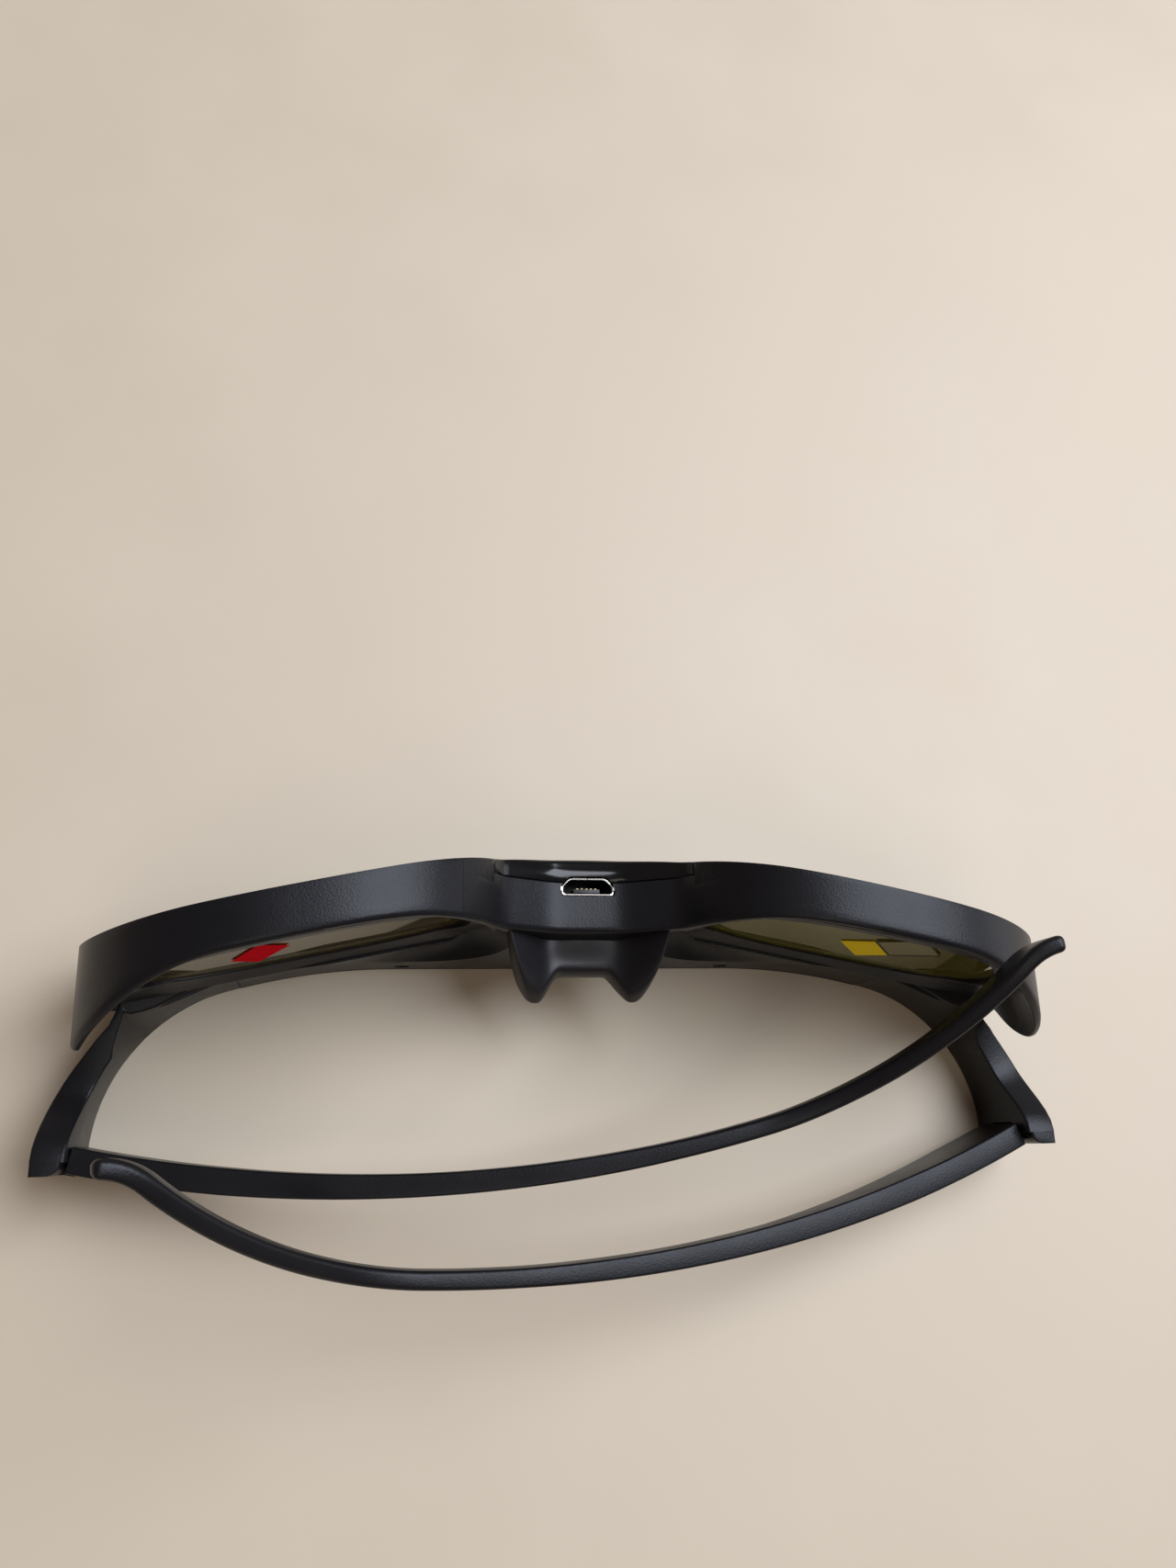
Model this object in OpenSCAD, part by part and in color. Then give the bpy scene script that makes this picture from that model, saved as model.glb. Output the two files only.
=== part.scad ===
// Shutter glasses for 3-D films, folded and resting on the brow.
// Millimetres, +Z up, front of the glasses toward +Y, wearer's right toward -X.
// The origin is the middle of the brow's rest face.

/* [Front] */
// Depth of the brow at the bridge, front to back
brow_depth = 15; // [14:0.5:17]
// Height of the brow bar
bar_h = 12.4; // [12:0.2:14]
// Slope of each rim's front face in plan
front_slope = 0.21; // [0.19:0.01:0.22]
// Lean of the front face in degrees
front_lean = 6.8; // [5:0.2:8]
// Half width of the front at the rims
side_x = 66.3; // [65.5:0.1:67]
// Height of each rim's centre
pod_z = 15.5; // [15:0.5:16.5]
// Half height of each rim's outline
pod_b = 24.9; // [24:0.1:26]
// Toe of each rim's flat rear face, run back per run outward
toe = 0.2; // [0.18:0.01:0.22]
// Half width of the bridge's flat underside
bridge_flat = 5; // [4.6:0.1:5.5]
// Height of the bridge's underside
bridge_h = 22.8; // [22.6:0.2:24]

/* [Lenses] */
// Distance of each lens centre from the middle
lens_x = 38.2; // [37.5:0.1:39]
// Height of each lens centre
lens_z = 24.8; // [24.5:0.1:25.5]
// Half width of the clear opening
open_a = 22; // [21:0.1:22.4]
// Height of the clear opening above the lens centre
open_up = 13; // [12:0.1:13.2]
// Height of the clear opening below the lens centre
open_down = 10.2; // [9.4:0.1:10.4]
// Width of the lens edge held behind the rim
lens_edge = 1.5; // [1.2:0.1:1.8]
// Thickness of a lens
lens_t = 1.8; // [1.4:0.1:2]
// Thickness of a lens seal
seal_t = 0.3; // [0.2:0.05:0.4]

/* [Covers] */
// Thickness of the rear cover round the lenses
bezel_t = 0.9; // [0.8:0.1:1.2]
// Thickness of the rear cover over the brow
skin_t = 1.4; // [1.2:0.1:1.6]
// Thickness of the bridge's gloss window
window_t = 2; // [1.6:0.1:2.2]
// Half width of the bridge's gloss window
window_half = 13.7; // [13:0.1:14]

/* [Temples] */
// Radius of the temple's long curve in plan
temple_r = 198; // [190:1:210]
// Length of the temple's long curve
temple_run = 91.4; // [89:0.2:92]
// Thickness of a temple at its root
temple_t = 3.4; // [3:0.1:3.6]
// Thickness of a temple along its thin run
blade_t = 2.4; // [2.2:0.1:2.6]
// Thickness of a temple at its tip
tip_t = 2.2; // [2:0.1:2.4]
// Height of a temple at its root
root_h = 10.4; // [9:0.1:11]
// Height of a temple along its thin run
blade_h = 4; // [3.6:0.1:4.2]
// Height of a temple at its tip
tip_h = 5.6; // [5:0.1:6]
// Height of the temple's upper edge at the root
root_top = 12.7; // [12.3:0.1:13.2]
// Folded angle of the right temple's root behind the X axis
right_fold = 12.2; // [11.5:0.1:13]
// Folded angle of the left temple's root behind the X axis
left_fold = 22.8; // [22:0.1:24]

/* [Hinges] */
// Distance of each hinge pin from the middle
pin_x = 69.7; // [69.5:0.1:69.9]
// Distance of each hinge pin behind the origin
pin_back = 34; // [33.6:0.1:34.4]
// Radius of a hinge pin
pin_r = 0.6; // [0.5:0.05:0.65]
// Height of the temple's hinge tongue
tongue_h = 5; // [4:0.2:5.4]

/* [Electronics] */
// Width of the micro-USB shell
usb_w = 7.5; // [7.4:0.1:7.6]
// Height of the micro-USB shell
usb_h = 2.5; // [2.4:0.1:2.6]
// Length of the battery
battery_l = 20; // [16:1:20]
// Length of the main board
board_l = 28; // [27:1:29]
// Radius of the power button
button_r = 1.7; // [1.5:0.1:1.9]
// Travel of the power button
button_travel = 0.4; // [0.3:0.05:0.5]

/* [Hidden] */
$fn = 48;
slip = 0.06;
swing = 0.5;
wall = 2;
front_y = brow_depth / 2;
rear_y = -brow_depth / 2;
bridge_rear = rear_y + 1.8;
pod_rear = rear_y + 6.3;
pod_x = 39.2;
pod_a = side_x + 0.5 - pod_x;
toe_deg = atan(toe);
arch_flat = 26;
arch_r = 90;
arch_end = 50;
arch_deg = asin((arch_end - arch_flat) / arch_r);
arch_y = rear_y - arch_r * (1 - cos(arch_deg));
pin_inset = 2.17;
end_r = (pin_x - pin_inset - arch_end) / (1 - sin(arch_deg));
end_t = 4.3;
end_cx = arch_end - end_r * sin(arch_deg);
end_cy = arch_y - end_r * cos(arch_deg);
pin_y = -pin_back;
knuckle_r = 1.7;
pin_head_r = pin_r + 0.5;
tongue_r = 1.3;
tongue_z = 5;
root_gap = knuckle_r + swing;
root_shift = 0.66;
end_h = 15;
cover_half = 48;
cover_side = 61.8;
cover_z = 0.9;
cavity_half = 46;
cavity_top = bar_h - 1.5;
cavity_inset = 3.3;
front_bend = 26;
bridge_rise = 0.53;
bridge_half = 15.6;
lip_y = 1.5;
lip_t = 1;
bay_half = 9.5;
bay_top = bridge_h - 2.4;
bay_front = front_y - 5.1;
board_t = 1;
board_y = -1.45;
board_z = 3.6;
usb_y = board_y + board_t + slip + usb_h / 2;
usb_len = 5.3;
usb_top = bridge_h - 0.2;
usb_wall = 0.3;
lens_y0 = bezel_t + seal_t;
eye_x = 8;
eye_z = 16;
button_x = 11;
button_y = board_y + board_t + 1.55;
button_z = 0.5;
flange_t = 0.7;
flange_r = button_r + 0.4;
switch_z = wall + slip + flange_t + button_travel + 0.1;
lead_run = 9;
screw_x = 24.8;
screw_z = 3.1;
ear_run = 34;
ear_r = 51;
flare_run = 6;
flare_r = 7;
temple_len = temple_run + ear_run + flare_run;
steps = 54;
step = temple_len / steps;
turn1 = temple_run / temple_r * 180 / PI;
turn2 = turn1 + ear_run / ear_r * 180 / PI;

function arc_pts(cx, cy, r, a0, a1, n) =
    [for (i = [0:n]) [cx + r * cos(a0 + (a1 - a0) * i / n), cy + r * sin(a0 + (a1 - a0) * i / n)]];

// Rim outline, fuller toward the nose than toward the side
function pod_pts(count) =
    [for (i = [0:count - 1])
        let (c = cos(360 * i / count), s = sin(360 * i / count), n = c < 0 ? 2.5 : 2.1)
        [pod_a * sign(c) * pow(abs(c), 2 / n), pod_b * sign(s) * pow(abs(s), 2 / n)]];

// Opening outline: an arch above the lens centre and a fuller, flatter curve below it
function open_pts(grow, count) =
    [for (i = [0:count - 1])
        let (c = cos(360 * i / count), s = sin(360 * i / count), n = s > 0 ? 2.3 : 3.2)
        [(open_a + grow) * sign(c) * pow(abs(c), 2 / n),
            ((s > 0 ? open_up : open_down) + grow) * sign(s) * pow(abs(s), 2 / n)]];

// Fall of the front face behind its middle: curved at the bridge, then flat, then rounding off
function front_fall(x) = x < front_bend ? front_slope * x * x / (2 * front_bend)
    : front_slope * (x - front_bend / 2) + pow(max(0, x - 50), 2) / 250;

function pod_y(x) = pod_rear - toe * x;

// Underside of the bridge: level in the middle, rising to the sides and rounding into the rims
function bridge_slope(x) = bridge_h + bridge_rise * (x - bridge_flat + sqrt(pow(x - bridge_flat, 2) + 2)) / 2;
function rim_top(x) = pod_z + pod_b * pow(1 - pow((pod_x - x) / pod_a, 2.5), 1 / 2.5);
function bridge_z(x) = x < pod_x - pod_a + 0.2 ? bridge_slope(x)
    : 1.2 * ln(exp(bridge_slope(x) / 1.2) + exp(rim_top(x) / 1.2));

// Turn of the temple's centre line away from its root, and the place on that line
function turn_at(s) = s < temple_run ? s / temple_r * 180 / PI
    : s < temple_run + ear_run ? turn1 + (s - temple_run) / ear_r * 180 / PI
    : turn2 - (s - temple_run - ear_run) / flare_r * 180 / PI;
function long_pt(a) = [root_gap + temple_r * sin(a), -root_shift - temple_r * (1 - cos(a))];
function ear_pt(a) = long_pt(turn1) + ear_r * [sin(a) - sin(turn1), cos(a) - cos(turn1)];
function flare_pt(a) = ear_pt(turn2) - flare_r * [sin(a) - sin(turn2), cos(a) - cos(turn2)];
function line_pt(s) = s < temple_run ? long_pt(turn_at(s))
    : s < temple_run + ear_run ? ear_pt(turn_at(s)) : flare_pt(turn_at(s));
function side_pt(s, d) = line_pt(s) + d * [sin(turn_at(s)), cos(turn_at(s))];

// Rise of the temple's upper edge: gentle along the run, steep at the ear, easing at the tip
function rise_deg(s) = s < 90 ? 7.8 : s < 105 ? 7.8 + 31.2 * (s - 90) / 15
    : s < 122 ? 39 : 39 - 29 * (s - 122) / (temple_len - 122);
function top_z(i) = i == 0 ? root_top : top_z(i - 1) + step * tan(rise_deg((i - 0.5) * step));
function blade_at(s) = s < 10 ? root_h : s < 44 ? root_h + (blade_h - root_h) * (s - 10) / 34
    : s < temple_run ? blade_h : blade_h + (tip_h - blade_h) * (s - temple_run) / (temple_len - temple_run);

function thick_at(s) = s < 20 ? temple_t : s < 80 ? temple_t + (blade_t - temple_t) * (s - 20) / 60
    : blade_t + (tip_t - blade_t) * (s - 80) / (temple_len - 80);

module both() {
    children();
    mirror([1, 0, 0]) children();
}

// Shape drawn in X and Z, standing between two Y values
module upright(y0, y1) {
    translate([0, y1, 0]) rotate([90, 0, 0]) linear_extrude(y1 - y0) children();
}

// Shape drawn in Y and Z, standing between two X values
module sideways(x0, x1) {
    translate([x0, 0, 0]) rotate([90, 0, 90]) linear_extrude(x1 - x0) children();
}

module front_plan(inset, stretch) {
    polygon(concat([for (x = [-74:2:74]) [x, (front_y - inset - front_fall(abs(x))) * stretch]],
        [[74, -90], [-74, -90]]));
}

module front_region(inset) {
    rotate([front_lean, 0, 0]) translate([0, 0, -20]) linear_extrude(90)
        front_plan(inset, cos(front_lean));
}

module arch_band(shift, back, half) {
    polygon(concat(
        [[0, rear_y + shift], [arch_flat, rear_y + shift]],
        arc_pts(arch_flat, rear_y + shift - arch_r, arch_r, 90 - 2, 90 - arch_deg, 10),
        [[half, back], [0, back]]));
}

module bar_plan() {
    polygon(concat(
        [[-0.01, rear_y]],
        arc_pts(arch_flat, rear_y - arch_r, arch_r, 90, 90 - arch_deg, 10),
        arc_pts(end_cx, end_cy, end_r, 90 - arch_deg - 4, 0, 18),
        [[end_cx + end_r, pin_y - 2 * knuckle_r], [end_cx + end_r + end_t, pin_y - 2 * knuckle_r]],
        arc_pts(end_cx, end_cy, end_r + end_t, 0, 36, 14),
        [[side_x, rear_y - 2], [side_x, front_y], [-0.01, front_y + 5]]));
}

module bar_mass() {
    intersection() {
        linear_extrude(end_h) bar_plan();
        sideways(-1, 80) polygon([[20, 0], [20, bar_h], [-11, bar_h], [-15.5, 11.3], [-18.5, 10.3],
            [-21.5, 9.8], [-24.5, 9.6], [-27.5, 10.5], [-29, 12.2], [-30.5, 14], [-33.5, 14.8],
            [-37, end_h], [-40, end_h], [-40, 0]]);
        union() {
            translate([-1, pin_y, -1]) cube([90, 60, 60]);
            translate([pin_x, pin_y, -1]) cylinder(r = knuckle_r, h = 60);
            translate([pin_x, pin_y - knuckle_r, -1]) cube([8, knuckle_r + 1, 60]);
        }
    }
}

module pod_mass() {
    intersection() {
        upright(-40, 20) translate([pod_x, pod_z]) polygon(pod_pts(72));
        translate([0, 0, bar_h - 2.4]) linear_extrude(40) polygon(concat(
            [[-0.01, bridge_rear], [10.5, bridge_rear], [13, pod_y(13)], [58, pod_y(58)]],
            [[60.4, pod_y(61)], [62.4, pod_y(66)], [63.8, -17.6], [64.4, -20], [66, -20.6]],
            [[70, -20], [70, 20], [-0.01, 20]]));
        sideways(-1, 80) polygon([[20, 5], [-13.5, 9], [-15.5, 11.3], [-17.5, 15], [-19.5, 19.6],
            [-20.5, 22.7], [-20.1, 26], [-18, 30], [-13.5, 34], [-8, 42], [20, 45]]);
    }
}

module bridge_mass() {
    intersection() {
        upright(bridge_rear, 20) polygon(concat([[bridge_half, 0], [-0.01, 0]],
            [for (i = [0:13]) [i == 0 ? -0.01 : bridge_half * i / 13, bridge_z(bridge_half * i / 13)]]));
        linear_extrude(60) polygon([[-0.01, bridge_rear], [10.5, bridge_rear], [13, pod_y(13)],
            [bridge_half + 1, pod_y(bridge_half + 1)], [bridge_half + 1, 20], [-0.01, 20]]);
    }
}

module shell_mass() {
    intersection() {
        both() {
            bar_mass();
            pod_mass();
            bridge_mass();
        }
        front_region(0);
    }
}

// Space taken by the rear cover, with the frame's clearance to it
module cover_zone(gap) {
    both() {
        translate([-0.01, 0, cover_z - gap]) linear_extrude(bar_h - cover_z + 2 * gap) intersection() {
            arch_band(skin_t + gap, -40, cover_half);
            translate([-1, -30]) square([cover_half + gap + 1, 40]);
        }
        translate([-0.01, 0, bar_h]) linear_extrude(40) polygon([[0, bridge_rear + bezel_t + gap],
            [10.5, bridge_rear + bezel_t + gap], [13, pod_y(13) + bezel_t + gap],
            [cover_side + gap, pod_y(cover_side) + bezel_t + gap],
            [cover_side + gap, pod_y(cover_side) - 4], [0, bridge_rear - 4]]);
    }
}

module window_zone(gap) {
    difference() {
        translate([-window_half - gap, -10, bar_h - 1.4 - gap]) cube([2 * (window_half + gap), 30, 30]);
        front_region(window_t + gap);
    }
    both() upright(lip_y - gap, 20) polygon(concat([[window_half + gap, 50], [-0.01, 50]],
        [for (i = [0:12])
            let (x = (window_half + gap) * i / 12)
            [i == 0 ? -0.01 : x, bridge_z(x) - lip_t - gap]]));
}

module usb_slot() {
    translate([-usb_w / 2 - slip, usb_y - usb_h / 2 - slip, bay_top - 1])
        cube([usb_w + 2 * slip, usb_h + 2 * slip, 10]);
}

// Lens plane: Y runs forward from the rear cover's rear face
module lens_place(side) {
    mirror([side < 0 ? 1 : 0, 0, 0])
        translate([lens_x, pod_y(lens_x), lens_z])
            rotate([0, 0, -toe_deg])
                children();
}

module lens_outline(grow) {
    polygon(open_pts(grow, 72));
}

module flex_outline(gap) {
    translate([-20 - gap, -15]) square([3.5 + 2 * gap, 6.6 + gap]);
    translate([-24.7, -18 - gap]) square([8.2 + gap, 4 + 2 * gap]);
}

module frame_cavities() {
    translate([0, 0, wall]) linear_extrude(cavity_top - wall) intersection() {
        both() arch_band(-1, 30, cavity_half);
        front_plan(cavity_inset, 1);
        translate([-cavity_half, -30]) square([2 * cavity_half, 60]);
    }
    translate([-bay_half, -20, wall]) cube([2 * bay_half, 20 + bay_front, bay_top - wall]);
    for (side = [-1, 1]) lens_place(side) {
        upright(-20, 30) lens_outline(0);
        upright(-20, lens_y0 + lens_t + 0.2) lens_outline(lens_edge + 0.12);
        upright(lens_y0 + lens_t - 0.1, lens_y0 + lens_t + 0.4) flex_outline(0.15);
    }
}

module front_frame() {
    color("#24262a") difference() {
        union() {
            difference() {
                shell_mass();
                frame_cavities();
            }
            both() translate([screw_x, rear_y + 0.2, screw_z]) rotate([-90, 0, 0])
                cylinder(r = 1.6, h = 9);
        }
        cover_zone(slip);
        window_zone(slip);
        both() translate([screw_x, rear_y, screw_z]) rotate([-90, 0, 0]) cylinder(r = 0.72, h = 8);
        usb_slot();
        translate([-eye_x, 0, eye_z]) rotate([-90, 0, 0]) cylinder(r = 1.6, h = 10);
        translate([eye_x, 0, eye_z]) rotate([-90, 0, 0]) cylinder(r = 1.1, h = 10);
        translate([button_x, button_y, -1]) cylinder(r = button_r + 0.25, h = 5);
        both() hinge_cuts();
    }
}

module hinge_cuts() {
    translate([pin_x, pin_y, -1]) cylinder(r = pin_r + 0.03, h = 14.6);
    translate([pin_x, pin_y, -1]) cylinder(r = pin_head_r + 0.03, h = 2.45);
    translate([pin_x, pin_y, tongue_z - 0.2]) cylinder(r = tongue_r + 0.25, h = tongue_h + 0.4);
    translate([pin_x - 6, pin_y - 6, tongue_z - 0.2]) cube([10, 6, tongue_h + 0.4]);
    translate([pin_x - 6, pin_y - 6, tongue_z - 0.2])
        cube([6, 6 + tongue_r + 0.25, tongue_h + 0.4]);
}

module rear_cover() {
    color("#202225") difference() {
        intersection() {
            shell_mass();
            cover_zone(0);
        }
        for (side = [-1, 1]) lens_place(side) upright(-20, 30) lens_outline(0);
        both() translate([screw_x, rear_y - 1, screw_z]) rotate([-90, 0, 0]) {
            cylinder(r = 0.76, h = 4);
            cylinder(r = 1.16, h = 1.8);
        }
    }
}

module lens(side) {
    lens_place(side) upright(lens_y0, lens_y0 + lens_t) lens_outline(lens_edge);
}

module right_lens() {
    color("#5d5632") lens(-1);
}

module left_lens() {
    color("#5a4a3a") lens(1);
}

module lens_seal(side) {
    lens_place(side) upright(bezel_t, lens_y0) difference() {
        lens_outline(lens_edge);
        lens_outline(0);
    }
}

module right_lens_seal() {
    color("#151515") lens_seal(-1);
}

module left_lens_seal() {
    color("#151515") lens_seal(1);
}

module right_lens_label() {
    color("#a02c30") lens_place(-1) upright(lens_y0 - 0.06, lens_y0)
        polygon([[9.4, -2], [6.9, -5.4], [2, 2.4], [4.6, 6.3]]);
}

module left_lens_label() {
    color("#b89c3e") lens_place(1) upright(lens_y0 - 0.06, lens_y0)
        polygon([[-2.4, 0.9], [0.7, 5.4], [5.6, -1.6], [2.7, -5.3]]);
}

module left_lens_film() {
    color("#8c8c8c") lens_place(1) upright(lens_y0 - 0.04, lens_y0)
        polygon([[5.8, -1.4], [0.9, 5.6], [2.2, 7.6], [11.4, 5.4], [9.6, 1.4]]);
}

module lens_flex(side) {
    lens_place(side) upright(lens_y0 + lens_t + 0.02, lens_y0 + lens_t + 0.14) flex_outline(0);
}

module right_lens_flex() {
    color("#b8792c") lens_flex(-1);
}

module left_lens_flex() {
    color("#b8792c") lens_flex(1);
}

module sensor_window() {
    color("#121316") difference() {
        intersection() {
            shell_mass();
            window_zone(0);
        }
        frame_cavities();
        usb_slot();
    }
}

module usb_profile(inset) {
    w = usb_w / 2 - inset;
    h = usb_h / 2 - inset;
    polygon([[-w, -h], [w, -h], [w, 0], [w - 1.1, h], [1.1 - w, h], [-w, 0]]);
}

module usb_shell() {
    color("#c9ccd0") translate([0, usb_y, usb_top - usb_len]) difference() {
        linear_extrude(usb_len) usb_profile(0);
        translate([0, 0, 0.4]) linear_extrude(usb_len) usb_profile(usb_wall);
    }
}

module usb_tongue() {
    color("#1b1b1d") translate([0, usb_y, usb_top - usb_len + 0.4]) {
        translate([-usb_w / 2 + usb_wall + 0.1, 0.2 - usb_h / 2 + usb_wall, 0])
            cube([usb_w - 2 * usb_wall - 0.2, 0.9, 0.8]);
        translate([-1.9, 0.2 - usb_h / 2 + usb_wall, 0]) cube([3.8, 0.6, usb_len - 1.3]);
    }
}

module usb_contacts() {
    color("#d4a94c") for (i = [-2:2])
        translate([i * 0.65 - 0.18, usb_y - usb_h / 2 + usb_wall + 0.8, usb_top - usb_len + 1.3])
            cube([0.36, 0.12, usb_len - 2.4]);
}

module nose_piece() {
    color("#2a2a2c") both() {
        translate([-0.01, -10.9, 13]) cube([5.6, bridge_rear + 10.9, 5]);
        intersection() {
            upright(-16, bridge_rear) polygon([[4.3, 13], [4.3, 18.2], [5.4, 18.6], [10.9, 24.9],
                [11.6, 22], [9.4, 14.4], [8, 13]]);
            linear_extrude(40) polygon([[4, -5], [11.6, -5], [10.9, -8], [9.9, -11.2], [8.3, -13.9],
                [7.2, -14.7], [6.4, -14.6], [5.4, -13.2], [4, -10.8]]);
            sideways(0, 20) polygon([[-5, 25.2], [-8, 24.4], [-11, 22.9], [-13.4, 20.6], [-14.7, 18.6],
                [-14.7, 16.8], [-13.4, 15], [-11, 13.4], [-5, 12.6]]);
        }
    }
}

module main_board() {
    color("#1f5a3a") translate([0, board_y, 0]) {
        translate([-board_l / 2, 0, board_z]) cube([board_l, board_t, cavity_top - 0.4 - board_z]);
        translate([-bay_half + 0.2, 0, board_z]) cube([2 * bay_half - 0.4, board_t, bay_top - 0.3 - board_z]);
    }
}

module controller_chip() {
    color("#101112") translate([-10, board_y - 1, 4]) cube([6, 1, 6]);
}

module driver_chip() {
    color("#101112") translate([2, board_y - 1.1, 4.5]) cube([5, 1.1, 5]);
}

module battery() {
    color("#9aa0a6")
        translate([-board_l / 2 - lead_run - battery_l, rear_y + skin_t + 0.2, screw_z + 1.6 + 0.2])
            cube([battery_l, 3.5, cavity_top - screw_z - 2.1]);
}

module battery_leads() {
    color("#b03030") for (z = [5.4, 6.3]) translate([-board_l / 2, board_y - 1.6, z]) {
        translate([-lead_run, 0, 0]) rotate([0, 90, 0]) cylinder(r = 0.35, h = lead_run + 1, $fn = 24);
        translate([1, 0, 0]) sphere(r = 0.35, $fn = 24);
        translate([1, 0, 0]) rotate([-90, 0, 0]) cylinder(r = 0.35, h = 1.6, $fn = 24);
    }
}

module photo_sensor() {
    color("#26262e") translate([-eye_x, board_y + board_t, eye_z]) rotate([-90, 0, 0])
        cylinder(r = 1.4, h = front_y - window_t - 2.4 - board_y - board_t);
}

module status_led() {
    color("#d8d8d0") translate([eye_x, board_y + board_t, eye_z]) rotate([-90, 0, 0])
        cylinder(r = 0.9, h = front_y - window_t - 2.4 - board_y - board_t);
}

module power_button() {
    color("#2b2d31") translate([button_x, button_y, button_z]) {
        cylinder(r = button_r, h = wall + slip - button_z + 0.1);
        translate([0, 0, wall + slip - button_z]) cylinder(r = flange_r, h = flange_t);
    }
}

module tact_switch() {
    color("#3a3a3c") translate([button_x, 0, switch_z]) {
        translate([-1.9, board_y + board_t, 0.5]) cube([3.8, 3.1, 3]);
        translate([0, button_y, 0]) cylinder(r = 0.6, h = 0.6);
    }
}

// Temple with its pin at the origin, root along +X and outer face toward +Y
module temple_solid() {
    difference() {
        union() {
            intersection() {
                linear_extrude(70) polygon(concat(
                    [for (i = [0:steps]) side_pt(i * step, thick_at(i * step) / 2)],
                    [for (i = [steps:-1:0]) side_pt(i * step, -thick_at(i * step) / 2)]));
                rotate([90, 0, 0]) translate([0, 0, -60]) linear_extrude(120) polygon(concat(
                    [for (i = [0:steps]) [line_pt(i * step)[0] + (i == steps ? 2 : 0), top_z(i)]],
                    [for (i = [steps:-1:0])
                        [line_pt(i * step)[0] + (i == steps ? 2 : 0), top_z(i) - blade_at(i * step)]]));
            }
            translate([0, 0, tongue_z]) cylinder(r = tongue_r, h = tongue_h);
            translate([0, -tongue_r, tongue_z]) cube([root_gap + 0.6, 2 * tongue_r, tongue_h]);
        }
        translate([0, 0, -1]) cylinder(r = pin_r + 0.05, h = 30);
    }
}

module right_temple() {
    color("#2c2e33") mirror([1, 0, 0]) translate([pin_x, pin_y, 0]) rotate([0, 0, 180 + right_fold])
        temple_solid();
}

module left_temple() {
    color("#2c2e33") translate([pin_x, pin_y, 0]) rotate([0, 0, 180 + left_fold]) temple_solid();
}

module hinge_pin() {
    translate([pin_x, pin_y, 0.6]) {
        cylinder(r = pin_r, h = 12.8);
        cylinder(r = pin_head_r, h = 0.8);
    }
}

module right_hinge_pin() {
    color("#b7babd") mirror([1, 0, 0]) hinge_pin();
}

module left_hinge_pin() {
    color("#b7babd") hinge_pin();
}

module cover_screws() {
    color("#17181a") both() translate([screw_x, rear_y + 0.15, screw_z]) rotate([-90, 0, 0]) difference() {
        union() {
            cylinder(r = 0.7, h = 7);
            cylinder(r = 1.1, h = 0.6);
        }
        translate([-0.7, -0.15, -1]) cube([1.4, 0.3, 1.3]);
        translate([-0.15, -0.7, -1]) cube([0.3, 1.4, 1.3]);
    }
}

front_frame();
rear_cover();
right_lens();
left_lens();
right_lens_seal();
left_lens_seal();
right_lens_label();
left_lens_label();
left_lens_film();
right_lens_flex();
left_lens_flex();
sensor_window();
usb_shell();
usb_tongue();
usb_contacts();
nose_piece();
main_board();
controller_chip();
driver_chip();
battery();
battery_leads();
photo_sensor();
status_led();
power_button();
tact_switch();
right_temple();
left_temple();
right_hinge_pin();
left_hinge_pin();
cover_screws();
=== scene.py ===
import math

import bmesh
import bpy
from mathutils import Matrix, Vector


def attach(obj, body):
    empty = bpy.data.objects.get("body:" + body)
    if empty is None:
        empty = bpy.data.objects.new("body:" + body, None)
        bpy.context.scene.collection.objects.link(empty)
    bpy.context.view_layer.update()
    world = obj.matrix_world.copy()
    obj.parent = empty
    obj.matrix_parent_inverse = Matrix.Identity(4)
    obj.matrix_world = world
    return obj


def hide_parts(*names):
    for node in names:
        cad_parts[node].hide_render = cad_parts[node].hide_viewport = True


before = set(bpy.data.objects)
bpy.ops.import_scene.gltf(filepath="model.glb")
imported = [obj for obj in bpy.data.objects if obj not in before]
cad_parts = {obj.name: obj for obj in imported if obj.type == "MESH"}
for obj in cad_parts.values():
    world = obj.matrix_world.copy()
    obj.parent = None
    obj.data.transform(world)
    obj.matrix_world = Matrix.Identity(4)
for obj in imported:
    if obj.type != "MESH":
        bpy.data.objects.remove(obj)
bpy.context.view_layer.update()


# Brow bar: the heavy edge of the front frame, which is one moulding in satin black ABS.
# It runs along the brow, turns back at both sides and ends in hinge blocks, slotted for the temples.
# Here and below, shapes are drawn in millimetres and scaled when their piece is finished.
front_y, front_slope, front_bend = 7.5, 0.21, 26
front_lean = math.tan(math.radians(6.8))
side_x, side_round = 50, 250
brow_rear, arch_flat, arch_r, arch_end = -7.5, 26.0, 90.0, 50.0
arch_deg = math.degrees(math.asin((arch_end - arch_flat) / arch_r))
rim_rear, rim_toe = -1.2, 0.2
cover_half, skin_t, seam = 48.0, 1.4, 0.1
bar_h, bar_soft, bar_inset, bar_step = 12.4, 0.6, 0.03, 2.4
ramp_lift, ramp_from, ramp_to = 1.6, 11, 15
dip_start, dip_y, dip_h, block_h = -9, -24.2, 9.6, 14.9
pin_x, pin_y, knuckle_r = 69.7, -34.0, 1.7
end_t, end_inset, end_waist, end_soft, end_turn = 4.28, 2.17, 1.1, 0.35, 36
end_r = (pin_x - end_inset - arch_end) / (1 - (arch_end - arch_flat) / arch_r)


def front(x, z):
    """Depth of the front face: curved at the bridge, flat at the rims, rounding off at the sides."""
    x = abs(x)
    fall = front_slope * x * x / (2 * front_bend)
    if x >= front_bend:
        fall = front_slope * (x - front_bend / 2) + max(0, x - side_x) ** 2 / side_round
    return front_y - fall - front_lean * z


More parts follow.
